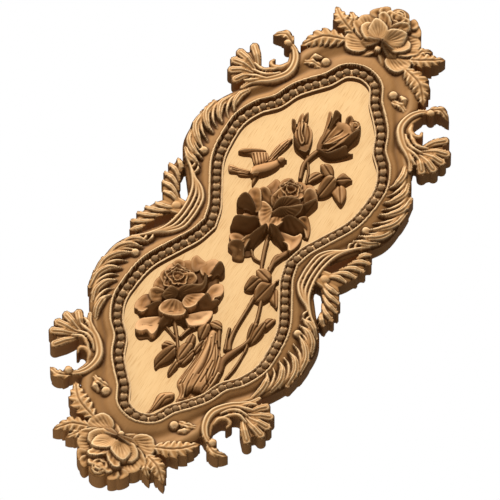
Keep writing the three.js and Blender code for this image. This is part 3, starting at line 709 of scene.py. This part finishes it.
lowerRose = [
    (18, 300, 0.5, 0, [(-55, -159), (-54, -152), (-39, -143), (-36, -133), (-32, -124), (-27, -123),
        (-26, -129), (-31, -139), (-32, -149), (-35, -158), (-41, -158), (-48, -163)]),
    (20, 120, 0.2, 0.75, [(-58, -152), (-58, -145), (-54, -140), (-45, -133), (-39, -130), (-37, -140),
        (-35, -149), (-36, -156), (-44, -153), (-49, -158), (-55, -158)]),
    (20, 120, 0.2, 0.3, [(-70, -135), (-72, -126), (-70, -115), (-65, -112), (-60, -119), (-57, -127),
        (-59, -136), (-63, -137), (-66, -136)]),
    (19, 300, 0.8, 0, [(-63, -137), (-58, -128), (-48, -118), (-42, -122), (-42, -128), (-51, -135),
        (-58, -139)]),
    (22, 300, 0.2, 0.1, [(-65, -110), (-63, -104), (-57, -102), (-50, -103), (-50, -114), (-56, -118),
        (-62, -115)]),
    (21, 120, 0.1, 0.1, [(-63, -106), (-67, -95), (-65, -87), (-57, -92), (-54, -101), (-57, -106)]),
    (21, 120, 0.1, 0.1, [(-65, -87), (-66, -79), (-62, -78), (-54, -86), (-56, -93)]),
    (21, 120, 0.25, 0.4, [(-63, -79), (-65, -70), (-61, -64), (-51, -67), (-47, -75), (-51, -82),
        (-57, -84)]),
    (20, 120, 0.1, 0, [(-61, -65), (-59, -58), (-52, -58), (-48, -66), (-51, -68)]),
    (20, 120, 0.1, 0.1, [(-49, -69), (-53, -58), (-48, -53), (-41, -55), (-35, -66), (-41, -73)]),
    (20, 120, 0.1, 0.2, [(-44, -54), (-46, -48), (-44, -43), (-37, -45), (-30, -47), (-31, -55),
        (-34, -62), (-39, -61)]),
    (21, 120, 0.2, 0.45, [(-31, -57), (-30, -44), (-25, -37), (-19, -38), (-13, -44), (-16, -50),
        (-17, -61), (-23, -64)]),
    (21, 300, 0.7, 0, [(-17, -54), (-14, -44), (-7, -47), (-7, -53), (-12, -56), (-14, -64), (-13, -74),
        (-15, -77), (-19, -67)]),
    (23, 300, 0.15, 0, [(-52, -94), (-52, -84), (-46, -75), (-37, -70), (-31, -75), (-35, -84),
        (-41, -91), (-48, -95)]),
    (24, 300, 0.2, 0.1, [(-44, -83), (-42, -74), (-35, -68), (-28, -71), (-29, -78), (-36, -84)]),
    (22, 120, 0.2, 0.45, [(-9, -84), (-10, -71), (-7, -64), (-1, -62), (4, -68), (5, -76), (1, -82),
        (2, -88), (-6, -87)]),
    (26, 300, 0.5, 0.1, [(-50, -107), (-46, -97), (-39, -96), (-36, -100), (-39, -107), (-45, -110)]),
    (27, 300, 0.5, 0.2, [(-37, -101), (-36, -91), (-29, -84), (-18, -77), (-18, -67), (-14, -75),
        (-16, -83), (-26, -91), (-28, -102), (-32, -103)]),
    (27, 120, 0.1, 0.2, [(-45, -123), (-43, -113), (-36, -107), (-28, -107), (-20, -111), (-17, -119),
        (-25, -126), (-35, -129), (-42, -128)]),
    (26, 120, 0.25, 0.35, [(-26, -105), (-26, -93), (-21, -87), (-10, -84), (-12, -95), (-12, -104),
        (-18, -111)]),
    (21, 300, 0.8, 0, [(-20, -110), (-12, -99), (-6, -86), (1, -89), (6, -85), (8, -91), (2, -97),
        (-7, -106), (-16, -116)]),
    (20, 120, 0.15, 0.9, [(-15, -116), (-7, -106), (4, -96), (8, -102), (7, -115), (-3, -124), (-9, -123)]),
    (19, 300, 0.8, 0, [(-28, -122), (-17, -114), (-11, -121), (-6, -126), (-10, -127), (-17, -125),
        (-24, -126)]),
    (18, 120, 0.1, 0.1, [(1, -77), (4, -69), (5, -73), (5, -84), (1, -87)]),
]
trunk = [
    (18, 210, 0.12, 0.15, [(15, -120), (19, -114), (26, -117), (33, -128), (43, -140), (49, -151),
        (52, -163), (51, -177), (47, -193), (37, -205), (27, -212), (25, -201), (16, -191), (16, -175),
        (17, -163), (17, -151), (16, -136)]),
    (20, 210, 0.2, 0.4, [(19, -124), (24, -122), (29, -134), (32, -148), (34, -160), (34, -174),
        (32, -187), (26, -191), (23, -180), (23, -163), (22, -148), (21, -135)]),
    (17, 300, 0.5, 0, [(27, -212), (37, -205), (47, -193), (51, -177), (52, -163), (55, -163), (56, -174),
        (52, -187), (45, -201), (35, -212)]),
    (18, 210, 0.3, 0.2, [(5, -244), (7, -232), (6, -216), (12, -210), (22, -207), (24, -213), (19, -222),
        (13, -232)]),
]
leaves = [
    (20, 120, 0.2, 0.1, [(16, 100), (13, 111), (18, 118), (26, 117), (24, 109), (20, 103)]),
    (20, 30, 0.2, 0.1, [(17, 126), (23, 132), (29, 132), (35, 126), (36, 120), (30, 116), (23, 120)]),
    (21, 300, 0.5, 0.2, [(31, 90), (29, 101), (31, 113), (37, 118), (43, 116), (46, 108), (44, 98),
        (38, 91)]),
    (20, 300, 0.3, 0.1, [(41, 119), (44, 129), (51, 129), (57, 128), (56, 125), (52, 118), (46, 116)]),
    (20, 120, 0.2, 0.3, [(46, 102), (45, 110), (49, 117), (56, 115), (61, 108), (63, 100), (62, 93),
        (55, 96)]),
    (20, 210, 0.2, 0.2, [(22, -26), (29, -20), (39, -23), (43, -28), (40, -35), (31, -35)]),
    (20, 300, 0.4, 0, [(22, -53), (21, -42), (24, -35), (35, -35), (34, -44), (31, -52)]),
    (21, 300, 0.4, 0.1, [(39, -60), (34, -50), (36, -39), (46, -35), (49, -29), (52, -38), (53, -49),
        (48, -59)]),
    (18, 210, 0.2, 0.3, [(54, -51), (51, -40), (54, -35), (61, -44), (66, -56), (60, -54)]),
    (20, 300, 0.3, 0, [(57, -108), (53, -98), (53, -88), (59, -87), (60, -96), (61, -107)]),
    (20, 300, 0.4, 0.1, [(61, -111), (59, -98), (61, -87), (65, -80), (69, -90), (68, -101), (64, -109)]),
    (19, 120, 0.2, 0.1, [(63, -82), (63, -73), (72, -69), (72, -78), (69, -87)]),
    (20, 300, 0.5, 0, [(-16, -186), (-19, -179), (-15, -166), (-7, -157), (-1, -165), (-3, -175),
        (-10, -184), (-12, -189)]),
    (19, 120, 0.2, 0.2, [(-21, -161), (-21, -156), (-18, -152), (-10, -152), (-4, -158), (-11, -158),
        (-16, -160)]),
    (20, 210, 0.2, 0.2, [(4, -167), (-2, -159), (-2, -149), (4, -143), (10, -145), (10, -156), (8, -163)]),
    (20, 30, 0.4, 0, [(1, -146), (0, -137), (1, -131), (7, -133), (10, -142), (8, -148)]),
    (19, 300, 0.3, 0.1, [(6, -170), (9, -162), (11, -153), (13, -149), (16, -155), (15, -163), (12, -170)]),
    (19, 300, 0.3, 0.1, [(2, -188), (1, -180), (3, -171), (8, -174), (7, -182), (5, -189)]),
    (20, 300, 0.3, 0.2, [(4, -124), (8, -114), (14, -114), (17, -122), (15, -132), (10, -132)]),
    (20, 120, 0.2, 0.2, [(11, -110), (16, -103), (23, -104), (27, -111), (18, -114)]),
    (19, 300, 0.3, 0.1, [(13, -148), (14, -138), (18, -131), (19, -139), (17, -149)]),
]
stemLines = [
    (17, [7, 6, 5], [(4, 140), (1, 130), (0, 118), (5, 102)]),
    (16, [4, 3.5, 3.5], [(-5, 135), (2, 124), (9, 113), (14, 99)]),
    (16, [4, 4], [(20, 95), (27, 97), (32, 98)]),
    (17, [5, 4, 4.5], [(10, 24), (13, 13), (17, 0), (23, -15), (28, -24)]),
    (16, [3, 3, 3], [(4, -5), (11, -12), (20, -13)]),
    (17, [8, 7, 5], [(41, 12), (37, 5), (33, 0), (34, -13), (35, -20)]),
    (17, [4, 4.5, 4], [(14, 13), (18, 0), (25, -19)]),
    (17, [5, 6, 5], [(33, -15), (35, -3), (41, 11)]),
    (17, [5, 4.5, 5, 6], [(37, -58), (38, -74), (39, -101), (42, -118), (46, -127)]),
    (17, [4.5, 4.5, 5, 5, 9, 8, 6], [(46, -56), (52, -73), (55, -84), (59, -108), (48, -140), (51, -157),
        (53, -174)]),
    (16, [4, 3, 4, 3], [(59, -110), (62, -119), (63, -144), (61, -162)]),
    (17, [5, 4, 5], [(-25, -126), (-13, -141), (-6, -151), (5, -168)]),
    (16, [4, 3, 4], [(-29, -137), (-22, -140), (-13, -144)]),
    (17, [4, 5, 4], [(2, -119), (-5, -128), (-8, -140)]),
    (18, [5, 5, 4], [(24, -110), (30, -122), (35, -131)]),
    (16, [4, 3, 5], [(33, -104), (36, -114), (42, -129)]),
    (17, [5, 5, 5], [(13, -150), (12, -157), (6, -171)]),
    (17, [4, 4, 3], [(53, -45), (48, -31), (50, -24)]),
    (18, [2.5, 3, 2.5], [(40, -159), (44, -170), (51, -179)]),
]

# wood left under each rose, behind its petals, darkened with painted shade
roseBeds = [
    [(-28, 60), (-15, 75), (5, 86), (22, 86), (32, 70), (34, 50), (28, 34), (5, 26), (-18, 30), (-30, 45)],
    [(-64, -104), (-60, -76), (-48, -54), (-28, -44), (-10, -53), (-3, -72), (-5, -92), (-25, -110),
     (-50, -113)]]
# ruffled heart of each rose: middle, radius, height
roseHearts = [((6, 79), 15, 25), ((-47, -80), 17, 25)]
# cuts across the finished forms, darkened with painted shade: width, depth, line
creases = [
    (0.7, 1.8, [(17, -122), (21, -136), (23, -153), (22, -172), (23, -189)]),
    (0.7, 1.8, [(24, -119), (29, -130), (34, -146), (35, -163), (36, -182), (36, -197)]),
    (0.7, 1.8, [(30, -126), (39, -139), (45, -154), (47, -170), (46, -187)]),
    (0.7, 1.6, [(17, -134), (19, -150), (18, -167), (18, -185)]),
    (0.7, 1.6, [(39, -151), (40, -166), (40, -180)]),
    (0.7, 1.6, [(28, -176), (29, -190), (33, -203)]),
    (1.1, 2.2, [(20, -144), (21, -161), (20, -177), (20, -191)]),
    (0.9, 1.6, [(23, -127), (29, -141), (33, -158), (33, -172)]),
    (0.9, 1.8, [(30, -130), (40, -147), (44, -163), (46, -176)]),
    (0.8, 1.8, [(41, -142), (44, -155), (48, -167)]),
    (0.8, 1.6, [(39, -163), (42, -171), (48, -179)]),
    (4.0, 8.0, [(35, -200), (37, -195), (44, -193)]),
    (1.0, 1.6, [(22, -190), (28, -198), (30, -206)]),
    (0.9, 1.5, [(9, -237), (12, -223), (14, -215)]),
    (0.9, 1.5, [(15, -229), (17, -219), (21, -214)]),
    (0.8, 1.8, [(-30, 164), (-23, 151), (-15, 141)]),
    (0.8, 1.8, [(-26, 163), (-18, 151), (-10, 140)]),
    (0.8, 1.6, [(-19, 161), (-12, 152), (-8, 141)]),
    (0.8, 1.6, [(-28, 152), (-21, 143), (-14, 135)]),
    (0.8, 1.8, [(8, 146), (11, 161), (17, 176)]),
    (0.8, 1.8, [(14, 148), (19, 160), (26, 174)]),
    (0.8, 1.6, [(5, 152), (5, 165), (7, 178)]),
]

spray = newSheet(-78, 78, -252, 198, sprayForm["step"])
for points in roseBeds:
    patch(spray, points, 17, 300, 0.0, 3.0, 4.0, paintedLightTone=-0.7)
# stems darkened with painted shade
for top, width, points in stemLines:
    stroke(spray, curveThrough(points, 60), width, [top, top], 3.0, edge=1.4, paintedLightTone=-0.5)
for top, facing, slope, paintedLightTone, points in trunk:
    patch(spray, points, top, facing, slope, 6.0, 7.0, paintedLightTone=paintedLightTone)
# leaves darkened with painted shade
for top, facing, slope, paintedLightTone, points in leaves:
    patch(spray, points, top, facing, slope, 2.5, 4.0, 1.8, paintedLightTone=paintedLightTone - 0.5)
for petals, hub, ribs in ((upperRose, (8, 52), 24), (buds, (0, 120), 0), (lowerRose, (-36, -98), 24)):
    for top, facing, slope, paintedLightTone, points in petals:
        # petals that lean to face the lower right, away from the lamp, get painted shade; the rest get painted
        # shade towards the rose's middle
        turned = facing == 300 and slope > 0.4
        patch(spray, points, top, facing, slope * 1.3, 1.4, 9.0, cup=0.8 if turned else 3.2,
              ribs=ribs, rib=0.4, hub=hub, grow=1.0 if ribs else 0.2, fade=0.3 if turned else 0.9,
              paintedLightTone=-0.6 if turned else paintedLightTone)
# heart petals slightly darkened with painted shade
for hub, radius, top in roseHearts:
    for ring, (reach, count, rise) in enumerate(((1.0, 6, -3.0), (0.7, 5, -0.5), (0.4, 3, 1.5))):
        for i in range(count):
            turn = 360 / count * (i + 0.5 * ring) + 20 * ring
            high = top + rise + (i % 2)
            petal(spray, hub, turn, radius * reach * (1 - 0.1 * (i % 2)), 480 / count,
                  [high - 7, high - 4.5, high], ruffle=0.09, waves=2, lip=0.6, paintedLightTone=-0.2)
curl(spray, (26, 187), 6, 25, 4, 3.0)
for width, depth, points in creases:
    groove(spray, curveThrough(points, 40), width, depth)
lipRoom = -lineField(np.abs(spray["x"]), np.abs(spray["u"]), beadCurve)[1] - sprayForm["clear"]
spray["d"] = np.minimum(spray["d"], lipRoom)
rosePiece = pieceFromSheet("roseSpray", spray, np.full(spray["h"].shape, sprayForm["ground"]), sprayWood)
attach(rosePiece, "root")
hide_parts("flower_spray")
print("spray carved")


# bird

# bird parts: height, way it faces, slope, painted light (below zero painted shade), then its edge
birdForm = {"step": 0.45, "parts": [
    (18, 120, 0.15, 0.3, [(-72.0, 96.8), (-69.1, 101.5), (-62.0, 106.1), (-52.9, 110.8), (-44.9, 113.0),
        (-39.3, 108.6), (-38.3, 101.5), (-40.0, 95.7), (-44.7, 91.2), (-49.8, 93.0), (-54.1, 97.7),
        (-58.3, 100.6), (-65.7, 97.5)]),
    (20, 300, 0.5, 0, [(-72.0, 96.8), (-69.1, 101.5), (-62.0, 106.1), (-52.9, 110.8), (-45.6, 113.3),
        (-49.6, 108.6), (-58.8, 103.2), (-66.8, 97.5)]),
    (19, 210, 0.2, 0.25, [(-37.6, 103.0), (-39.5, 112.6), (-38.9, 123.0), (-34.7, 132.6), (-27.3, 142.2),
        (-26.8, 134.2), (-28.2, 126.8), (-30.7, 117.7), (-31.7, 107.0), (-33.6, 102.4)]),
    (22, 120, 0.35, 0.2, [(-47.4, 82.6), (-46.2, 88.6), (-40.7, 95.9), (-34.7, 102.4), (-30.8, 108.1),
        (-29.1, 113.3), (-25.0, 115.0), (-21.9, 113.3), (-22.8, 108.6), (-23.1, 101.9), (-25.9, 94.3),
        (-30.8, 86.8), (-37.6, 79.9), (-42.1, 76.1), (-45.8, 78.1)]),
    (17, 120, 0.1, 0.2, [(-73.1, 77.2), (-69.7, 80.3), (-62.5, 80.3), (-53.5, 82.6), (-47.0, 82.8),
        (-45.1, 78.5), (-49.2, 75.0), (-56.2, 72.1), (-60.5, 73.2), (-68.2, 70.5)]),
    (16, 300, 0.2, 0, [(-40.6, 78.8), (-36.5, 82.3), (-36.2, 76.5), (-36.8, 67.9), (-40.2, 71.9)]),
], "feathers": [
    ((-55.4, 102.7), (-46.3, 91.4)),
    ((-52.6, 105.0), (-43.0, 92.7)),
    ((-49.5, 106.8), (-41.0, 95.6)),
    ((-46.4, 108.5), (-39.4, 99.0)),
    ((-43.7, 110.1), (-38.6, 103.0)),
    ((-36.7, 105.9), (-29.7, 134.8)),
    ((-33.7, 107.0), (-28.5, 130.8)),
    ((-33.5, 110.1), (-30.3, 125.0)),
    ((-38.0, 109.9), (-35.1, 126.3)),
    ((-69.9, 75.4), (-47.1, 80.3)),
    ((-66.1, 74.0), (-46.3, 78.9)),
    ((-58.1, 72.7), (-45.8, 78.0)),
]}
birdSheet = newSheet(-78, -10, 64, 140, birdForm["step"])
for top, facing, slope, paintedLightTone, points in birdForm["parts"]:
    patch(birdSheet, points, top, facing, slope, 3.5, 6.0, paintedLightTone=paintedLightTone)
dome(birdSheet, (-24.1, 109.9), 4.0, 23, 0.8)
stroke(birdSheet, bowed((-23.9, 111.4), (-19.4, 113.4)), [3.4, 1.2], [20, 18], 1.0)
for a, b in birdForm["feathers"]:
    groove(birdSheet, bowed(a, b), 0.6, 1.6)
birdRoom = -lineField(np.abs(birdSheet["x"]), np.abs(birdSheet["u"]), beadCurve)[1] - sprayForm["clear"]
birdSheet["d"] = np.minimum(birdSheet["d"], birdRoom)
bird = pieceFromSheet("birdCarving", birdSheet, np.full(birdSheet["h"].shape, sprayForm["ground"]), sprayWood)
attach(bird, "root")
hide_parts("bird")
print("bird carved")


# floor, light and camera

stageLook = {"floor": "#f2f0ec", "floorSize": 0.6, "floorAt": (0.0, 0.05, -0.6), "sky": "#fff6ea",
             "skyFill": 0.32, "key": 820.0, "keySize": 2.1, "keyFrom": (-0.58, -0.5, 0.65), "keyFar": 7.0,
             "keyTint": "#fff8ee"}
viewLook = {"lens": 900.0, "sensor": 36.0, "half": 0.278125, "right": (0.866, 0.0, 0.5),
            "up": (-0.433, -0.5, 0.75), "shiftRight": -0.63, "shiftUp": 1.98}

floorMat = bpy.data.materials.new("matt studio paper")
floorMat.use_nodes = True
floorMat.node_tree.nodes["Principled BSDF"].inputs["Base Color"].default_value = toLinear(stageLook["floor"])
floorMat.node_tree.nodes["Principled BSDF"].inputs["Roughness"].default_value = 0.9
bpy.ops.mesh.primitive_plane_add(size=stageLook["floorSize"], location=stageLook["floorAt"])
floor = bpy.context.object
floor.name = "floor"
floor.data.materials.append(floorMat)

world = bpy.data.worlds.new("studio")
bpy.context.scene.world = world
world.use_nodes = True
tree = world.node_tree
tree.nodes.clear()
ray = addNode(tree, "ShaderNodeLightPath")
fill = addNode(tree, "ShaderNodeBackground", {
    "Color": toLinear(stageLook["sky"]), "Strength": stageLook["skyFill"]})
paper = addNode(tree, "ShaderNodeBackground", {"Color": (1, 1, 1, 1), "Strength": 1.0})
both = addNode(tree, "ShaderNodeMixShader", {"Fac": ray.outputs["Is Camera Ray"]})
tree.links.new(fill.outputs["Background"], both.inputs[1])
tree.links.new(paper.outputs["Background"], both.inputs[2])
addNode(tree, "ShaderNodeOutputWorld", {"Surface": both.outputs["Shader"]})

keyData = bpy.data.lights.new("key softbox", "AREA")
keyData.shape = "DISK"
keyData.size = stageLook["keySize"]
keyData.energy = stageLook["key"]
keyData.use_shadow = False
keyData.color = toLinear(stageLook["keyTint"])[:3]
key = bpy.data.objects.new("key softbox", keyData)
key.location = Vector(stageLook["keyFrom"]).normalized() * stageLook["keyFar"]
key.rotation_euler = key.location.to_track_quat("Z", "Y").to_euler()
bpy.context.scene.collection.objects.link(key)
bpy.context.scene.view_settings.view_transform = "Standard"

right = Vector(viewLook["right"]).normalized()
up = Vector(viewLook["up"]).normalized()
toward = right.cross(up)
centre = right * viewLook["shiftRight"] * mm + up * viewLook["shiftUp"] * mm
distance = viewLook["half"] / (viewLook["sensor"] / 2 / viewLook["lens"])
camData = bpy.data.cameras.new("photo view")
camData.lens = viewLook["lens"]
camData.sensor_width = viewLook["sensor"]
camData.clip_end = 60.0
camera = bpy.data.objects.new("photo view", camData)
turned = Matrix((right, up, toward)).transposed().to_4x4()
camera.matrix_world = Matrix.Translation(centre + toward * distance) @ turned
bpy.context.scene.collection.objects.link(camera)
bpy.context.scene.camera = camera

print("scene ready")
